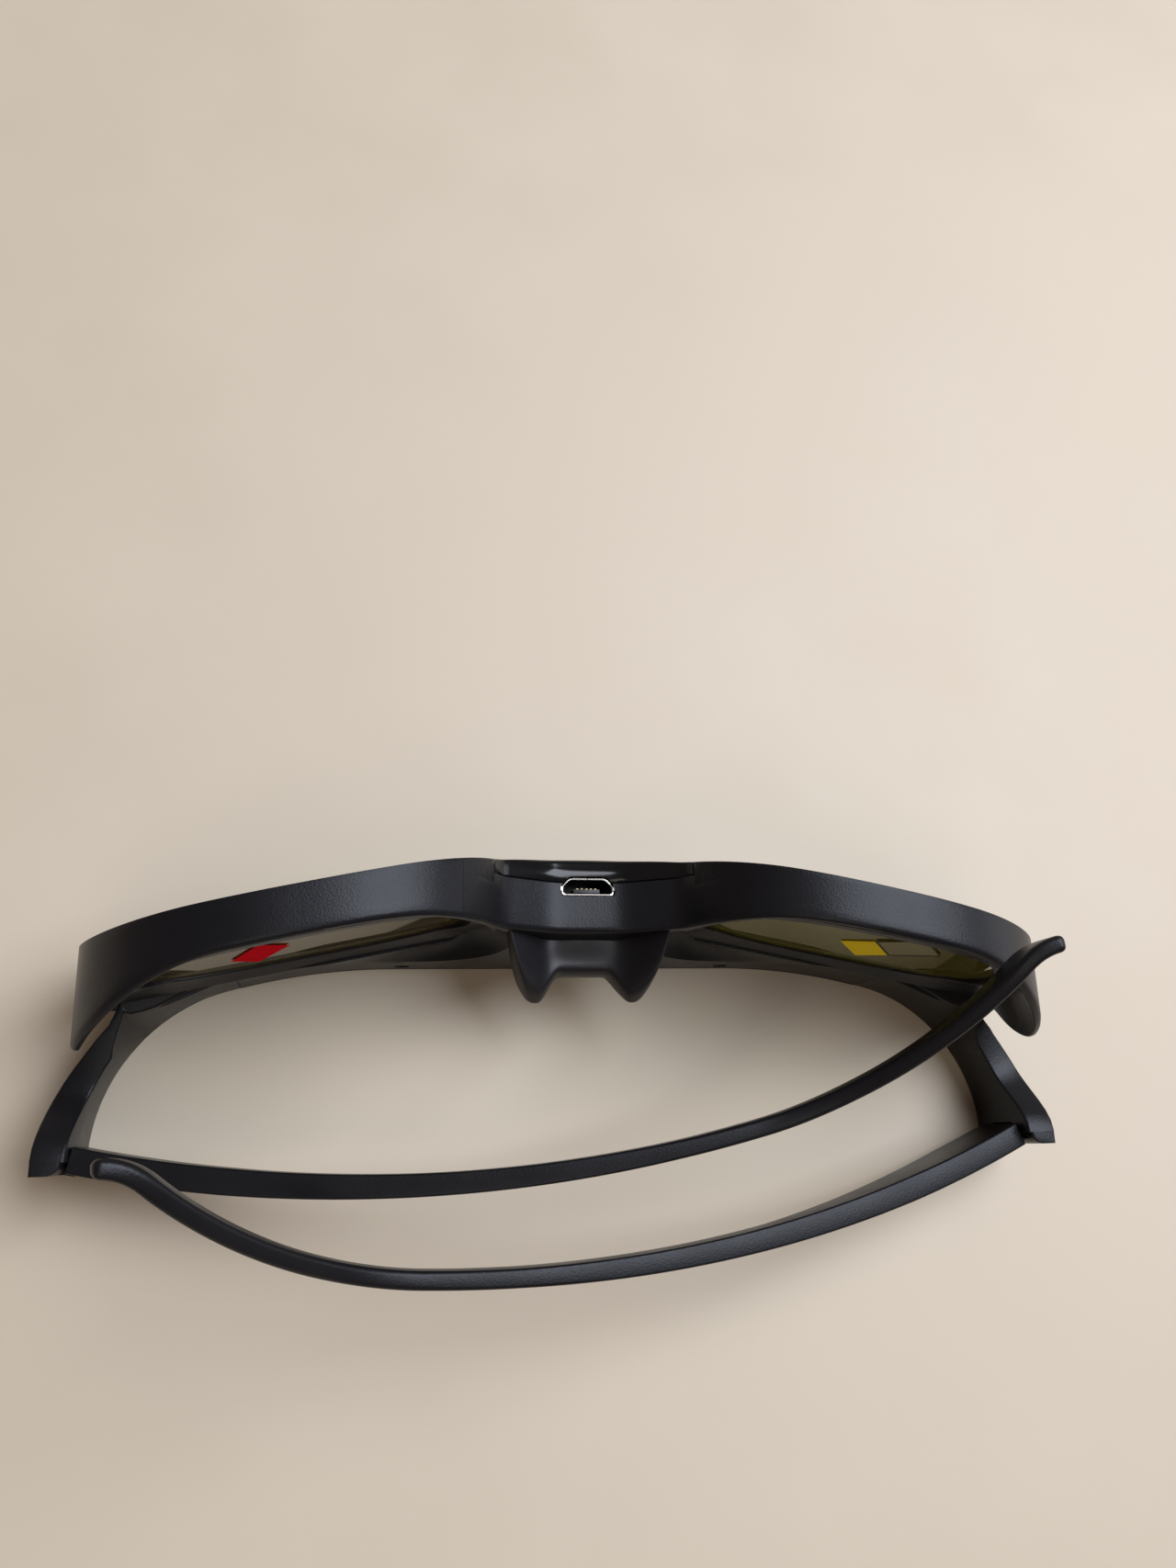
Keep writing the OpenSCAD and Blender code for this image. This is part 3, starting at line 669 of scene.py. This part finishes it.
right_arm = temple_shape(-1, right_fold)
left_arm = temple_shape(1, left_fold)
piece("right_arm", right_arm, black_plastic, "right_temple", ["right_temple"])
piece("left_arm", left_arm, black_plastic, "left_temple", ["left_temple"])


# Nose piece: a separate black saddle with two horns, moulded in a softer plastic.
# It is pressed onto the rear of the bridge, dips in the middle and runs back to the horns' round tips.
nose_half, nose_start, nose_soft, nose_least = 11.4, -5.2, 1.5, 0.3
saddle_rear, horn_reach, horn_x, horn_run, horn_back, horn_power = -10.9, 3.8, 7.1, 4.3, 8.8, 2.1
saddle_z, saddle_half, saddle_slope = 17.9, 5.2, 1.15
nose_roof, roof_fall, nose_floor, floor_curl, horn_lift = 25.2, 0.075, 12.8, 0.12, 9


def nose_section(x):
    """Section of the nose piece from the bridge back to its rounded rear edge."""
    a = abs(x)
    edge = saddle_rear - horn_reach * ease(a, 3.2, 6.7)
    if a > horn_x:
        edge = saddle_rear - horn_reach + horn_back * min(1, (a - horn_x) / horn_run) ** horn_power
    steps = 16
    top, bottom = [], []
    for k in range(steps + 1):
        y = nose_start + (edge - nose_start) * math.sin(math.pi / 2 * k / steps)
        vee = saddle_z + saddle_slope * (a - saddle_half + math.sqrt((a - saddle_half) ** 2 + 2)) / 2
        vee += (1 - ease(-y, 5.5, 9.4)) * ease(8 - a, 0, 7)
        roof = nose_roof - roof_fall * (-y - 5) ** 2
        high = (vee + roof - math.sqrt((vee - roof) ** 2 + 1)) / 2
        low = nose_floor + floor_curl * max(0, -y - 9) ** 2 + horn_lift * max(0, (a - 8) / 3.5) ** 1.6
        low = min(low, high - nose_least)
        middle = (high + low) / 2
        near = min(1, max(0, (y - edge) / nose_soft))
        half = (high - low) / 2 * math.sqrt(1 - (1 - near) ** 2)
        top.append((x, y, middle + half))
        bottom.append((x, y, middle - half - 0.001))
    return top + bottom[::-1]


saddle = loft([nose_section(nose_half * math.sin(math.pi / 2 * (k / 36 - 1))) for k in range(73)])
# Soft moulded plastic: a duller black than the front's, with a very fine grain.
# Such a grain is about 0.03 mm wide, too fine to show, so it is drawn 0.15 mm wide.
nose_plastic = surface("Grained black nose plastic", "#18181b", "#101013", roughness=0.42, grain_mm=0.15,
                       relief_mm=0.012, Specular_IOR_Level=0.35)
piece("nose_saddle", saddle, nose_plastic, "frame", ["nose_piece"], sharp_deg=50)


# Charging socket: a drawn steel shell, plated with nickel, round a nylon tongue with gilt contacts.
# It stands on the board inside and shows in a slot in the underside of the bridge.
usb_top, shell_t, shell_low, mouth_soft = 22.6, 0.26, 17.3, 0.12


def eased(node, name, material, width_mm, body="frame"):
    """A CAD node's solid with its sharp edges bevelled, so that they catch the light."""
    shape = bmesh.new()
    shape.from_mesh(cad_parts[node].data)
    bmesh.ops.scale(shape, vec=(1000, 1000, 1000), verts=shape.verts)
    bmesh.ops.remove_doubles(shape, verts=shape.verts, dist=1e-4)
    bmesh.ops.dissolve_limit(shape, angle_limit=math.radians(1), verts=shape.verts, edges=shape.edges)
    sharp = [e for e in shape.edges if len(e.link_faces) == 2 and e.calc_face_angle() > math.radians(28)]
    bmesh.ops.bevel(shape, geom=sharp, offset=width_mm, offset_type="OFFSET", segments=2, profile=0.5,
                    affect="EDGES", clamp_overlap=True, material=-1)
    return piece(name, shape, material, body, [node])


def socket_shell():
    """Drawn shell with a rolled mouth, a seam in its narrow side and two side tabs."""
    rings = [(0, shell_low), (0, usb_top - mouth_soft), (-0.04, usb_top - 0.03), (-0.13, usb_top),
             (-0.22, usb_top - 0.03), (-shell_t, usb_top - mouth_soft), (-shell_t, shell_low + 0.4)]
    shell = loft([[(x, y, z) for x, y in usb_outline(grow)] for grow, z in rings])
    slit_plan = ((-0.05, 1.6), (0.05, 1.6), (0.05, 2.4), (-0.05, 2.4))
    slit = loft([[(x, y, z) for x, y in slit_plan] for z in (21.4, 23)])
    tab_plan = rounded((3.6, -0.5), (4.05, 0.1), 0.15)
    tab = loft([[(x, usb_y + y, z) for x, y in tab_plan] for z in (21.6, usb_top - 0.05)])
    return joined(carved(shell, slit), mirrored(tab))


# Bright nickel: a silver line round the mouth. Below the mouth the colour falls to near black with depth, as
# painted shade for the inside of the socket.
nickel = surface("Nickel-plated steel", "#e2e0da", "#cfcdc6", roughness=0.34, grain_mm=0.2, relief_mm=0.001,
                 Metallic=1.0)
tree = nickel.node_tree
place = add_node(tree, "ShaderNodeTexCoord").outputs["Object"]
height = add_node(tree, "ShaderNodeSeparateXYZ", {0: place}).outputs["Z"]
dark_z, bright_z = (usb_top - 0.7) / 1000, (usb_top - 0.15) / 1000
depth = add_node(tree, "ShaderNodeMapRange", {"Value": height, "From Min": dark_z, "From Max": bright_z})
bright = tree.nodes["Principled BSDF"].inputs["Base Color"]
# Painted shade: the base colour is mixed toward #202020, darker the deeper it lies below the mouth.
painted_shade = add_node(tree, "ShaderNodeMix", {
    0: depth.outputs["Result"], 6: linear("#202020"), 7: bright.links[0].from_socket}, data_type="RGBA")
tree.links.new(painted_shade.outputs[2], bright)
# Thin gilding: small pale yellow bars that glint on the black tongue.
gilt = surface("Gold-plated contact", "#b5a884", "#9a8d68", roughness=0.4, grain_mm=0.1, relief_mm=0.0005,
               Metallic=1.0)
# Moulded nylon: a flat black with hardly any shine.
socket_black = surface("Black socket nylon", "#161618", "#0e0e10", roughness=0.5, grain_mm=0.1,
                       relief_mm=0.002)
piece("socket_shell", socket_shell(), nickel, "frame", ["usb_shell"])
eased("usb_tongue", "socket_tongue", socket_black, width_mm=0.05)
eased("usb_contacts", "socket_contacts", gilt, width_mm=0.02)


# Lenses: flat liquid-crystal shutters between glass, held by the rear cover on foam seals.
# They keep their CAD shapes. A coloured mark is stuck on each from behind, and a clear film on the left one.
def repaint(node, material):
    """Gives a CAD node's object a material."""
    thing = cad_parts[node]
    thing.data.materials.clear()
    thing.data.materials.append(material)


def sticker(name, side, corners, material, node=None, lift=0.1):
    """A thin film on a lens's rear face, from corners measured from the lens centre."""
    film_t, lens_rear = 0.05, bezel_t + 0.3
    sheets = []
    for depth in (0, film_t):
        sheets.append([(side * (lens_x + u), rim_plane(lens_x + u) + lens_rear - lift - depth, lens_z + w)
                       for u, w in corners])
    piece(name, loft(sheets), material, "frame", [node] if node else ())


def strip(a, b, width):
    """Corners of a thin line between two places."""
    across = (Vector(b) - Vector(a)).normalized().orthogonal() * width / 2
    return [tuple(Vector(p) + across * k) for p, k in ((a, -1), (b, -1), (b, 1), (a, 1))]


# Shutter glass: polarising layers tint it, so it is half clear, with mirror-like reflections.
lens_olive = surface("Olive shutter glass", "#8a872e", "#807d28", roughness=0.04, grain_mm=6,
                     relief_mm=0.0002, Transmission_Weight=0.7, IOR=1.55,
                     Specular_Tint=linear("#dcdf9c"))
lens_brown = surface("Brown shutter glass", "#8b7c46", "#817240", roughness=0.04, grain_mm=6,
                     relief_mm=0.0002, Transmission_Weight=0.7, IOR=1.55,
                     Specular_Tint=linear("#e4dcae"))
repaint("right_lens", lens_brown)
repaint("left_lens", lens_olive)
# Printed film: a flat, strong colour without shine.
red_film = surface("Red label film", "#e3202d", "#d41a27", roughness=0.5, grain_mm=0.3, relief_mm=0.001,
                   Specular_IOR_Level=0.0)
yellow_film = surface("Yellow label film", "#f2d93a", "#e8cd32", roughness=0.5, grain_mm=0.3, relief_mm=0.001,
                      Specular_IOR_Level=0.0)
# Clear film on olive glass: a greyer patch, with a dark printed line round it.
grey_film = surface("Clear grey film", "#7c7752", "#726d4a", roughness=0.4, grain_mm=0.5, relief_mm=0.001,
                    Specular_IOR_Level=0.2)
film_print = surface("Dark printed line", "#3d3a2b", "#343124", roughness=0.5, grain_mm=0.3, relief_mm=0.001,
                     Specular_IOR_Level=0.1)
red_corners = [(9.4, -1.6), (5.6, 6.8), (1.9, 2.4), (6.2, -6.0)]
yellow_corners = [(-2.6, 1.2), (0.9, 4.9), (5.5, -1.4), (2.4, -5.5)]
film_corners = [(1.0, 5.2), (5.6, 10.9), (10.6, 4.6), (5.7, -1.2)]
line_w, line_lift = 0.22, 0.16
sticker("red_mark", -1, red_corners, red_film, "right_lens_label")
sticker("yellow_mark", 1, yellow_corners, yellow_film, "left_lens_label")
sticker("grey_film", 1, film_corners, grey_film, "left_lens_film")
for number, (a, b) in enumerate(zip(film_corners, film_corners[1:] + film_corners[:1])):
    sticker(f"film_line_{number}", 1, strip(a, b, line_w), film_print, lift=line_lift)
# Closed-cell foam: a dead black line round the glass.
seal_foam = surface("Black lens seal foam", "#141414", "#0c0c0c", roughness=0.9, grain_mm=0.2, relief_mm=0.01)
repaint("right_lens_seal", seal_foam)
repaint("left_lens_seal", seal_foam)


# Electronics inside the brow: board, chips, battery, leads, sensor, lamp, switch and flat cables.
# They are soldered or plugged together and closed in by the covers, so they keep their CAD shapes.
# Solder mask: a smooth green lacquer.
board_green = surface("Green board mask", "#1f5a3a", "#1a4d32", roughness=0.35, grain_mm=0.4, relief_mm=0.002)
repaint("main_board", board_green)
# Moulded epoxy: a dull charcoal.
chip_black = surface("Black chip epoxy", "#17181a", "#0f1011", roughness=0.6, grain_mm=0.1, relief_mm=0.002)
repaint("controller_chip", chip_black)
repaint("driver_chip", chip_black)
# Laminated foil: silver-grey and slightly crinkled.
pouch_foil = surface("Battery pouch foil", "#a9adb2", "#989ca1", roughness=0.35, grain_mm=0.8, relief_mm=0.01,
                     Metallic=0.8)
repaint("battery", pouch_foil)
# Silicone insulation: a soft red without gloss.
wire_red = surface("Red silicone wire", "#b03030", "#962626", roughness=0.5, grain_mm=0.2, relief_mm=0.002)
repaint("battery_leads", wire_red)
# Cast epoxy: glassy, almost black over the sensor and milky white over the lamp.
sensor_dark = surface("Dark sensor epoxy", "#20202a", "#16161e", roughness=0.15, grain_mm=0.3,
                      relief_mm=0.0005)
repaint("photo_sensor", sensor_dark)
lamp_milky = surface("Milky lamp epoxy", "#d8d8d0", "#c8c8c0", roughness=0.25, grain_mm=0.3,
                     relief_mm=0.0005)
repaint("status_led", lamp_milky)
# Moulded nylon: a plain dark grey.
switch_grey = surface("Grey switch nylon", "#3c3c40", "#303034", roughness=0.5, grain_mm=0.1, relief_mm=0.002)
repaint("tact_switch", switch_grey)
# Polyimide film: amber with a satin shine.
amber_film = surface("Amber flat cable", "#b8792c", "#a56b25", roughness=0.35, grain_mm=0.5, relief_mm=0.001)
repaint("right_lens_flex", amber_film)
repaint("left_lens_flex", amber_film)


# Pins, screws and button: turned steel pins in the hinge blocks, and blackened screws in the brow.
# The button is a cap of the black plastic that slides in the flat of the brow, over the switch.
# Turned steel: bright grey with a soft shine.
pin_steel = surface("Turned steel pin", "#b5b7ba", "#9fa1a4", roughness=0.3, grain_mm=0.15, relief_mm=0.001,
                    Metallic=1.0)
repaint("right_hinge_pin", pin_steel)
repaint("left_hinge_pin", pin_steel)
# Black oxide: a dark metal that is seen as two dark dots.
screw_black = surface("Black oxide steel", "#232325", "#171718", roughness=0.4, grain_mm=0.1, relief_mm=0.002,
                      Metallic=0.9)
repaint("cover_screws", screw_black)
eased("power_button", "brow_button", black_plastic, width_mm=0.2, body="power_button")


# Table and light: a plain pale laminate top, four metres square, that the brow lies on.
# One large soft light stands above to the right, with a weak fill, a low window and a dim warm room.
table_reach = 2.0
table_mesh = bpy.data.meshes.new("table")
top = bmesh.new()
bmesh.ops.create_grid(top, x_segments=1, y_segments=1, size=table_reach)
top.to_mesh(table_mesh)
top.free()
table = bpy.data.objects.new("table", table_mesh)
bpy.context.collection.objects.link(table)
# Laminate: a warm pale face without gloss, so that only soft shadows show on it.
laminate = surface("Pale laminate", "#c8bda9", "#bfb4a0", roughness=0.55, grain_mm=0.8, relief_mm=0.002)
table_mesh.materials.append(laminate)


def soft_light(name, place, aim, size, watts, colour):
    """A square area light that points at a place and isn't seen itself."""
    data = bpy.data.lights.new(name, "AREA")
    data.size = size
    data.energy = watts
    data.color = linear(colour)[:3]
    lamp = bpy.data.objects.new(name, data)
    lamp.location = place
    lamp.rotation_euler = (Vector(aim) - Vector(place)).to_track_quat("-Z", "Y").to_euler()
    lamp.visible_camera = False
    bpy.context.collection.objects.link(lamp)


soft_light("key", (0.45, 0.25, 0.86), (0, -0.01, 0.02), size=0.75, watts=14.6, colour="#eef3ff")
soft_light("fill", (-0.1, -0.5, 0.85), (0, 0, 0.02), size=0.4, watts=1.0, colour="#fff6ea")
soft_light("window", (0.95, 0.12, 0.2), (0, 0, 0.03), size=0.35, watts=0.8, colour="#eef3ff")
world = bpy.data.worlds.new("room")
bpy.context.scene.world = world
world.use_nodes = True
room = world.node_tree.nodes["Background"]
room.inputs["Color"].default_value = linear("#dcc0ae")
room.inputs["Strength"].default_value = 0.25
bpy.context.scene.view_settings.view_transform = "Standard"


# Camera: where the photograph was taken from, solved from mirrored points of the symmetric front.
# It looks down on the glasses from behind, and its turn about the line of sight is the photograph's.
pitch, yaw, roll = [math.radians(a) for a in (69.93, 33.99, -33.93)]
camera_place = (-0.03264, -0.03321, 0.18493)
ahead = Vector((math.sin(yaw) * math.cos(pitch), math.cos(yaw) * math.cos(pitch), -math.sin(pitch)))
level = Vector((math.cos(yaw), -math.sin(yaw), 0))
down = ahead.cross(level)
right = math.cos(roll) * level + math.sin(roll) * down
down = math.cos(roll) * down - math.sin(roll) * level
camera_data = bpy.data.cameras.new("camera")
camera_data.sensor_fit = "VERTICAL"
camera_data.sensor_height = 36
camera_data.lens = 27.52
camera_data.clip_start = 0.01
camera = bpy.data.objects.new("camera", camera_data)
camera.matrix_world = Matrix.Translation(camera_place) @ Matrix((
    (right.x, -down.x, -ahead.x), (right.y, -down.y, -ahead.y), (right.z, -down.z, -ahead.z))).to_4x4()
bpy.context.collection.objects.link(camera)
bpy.context.scene.camera = camera
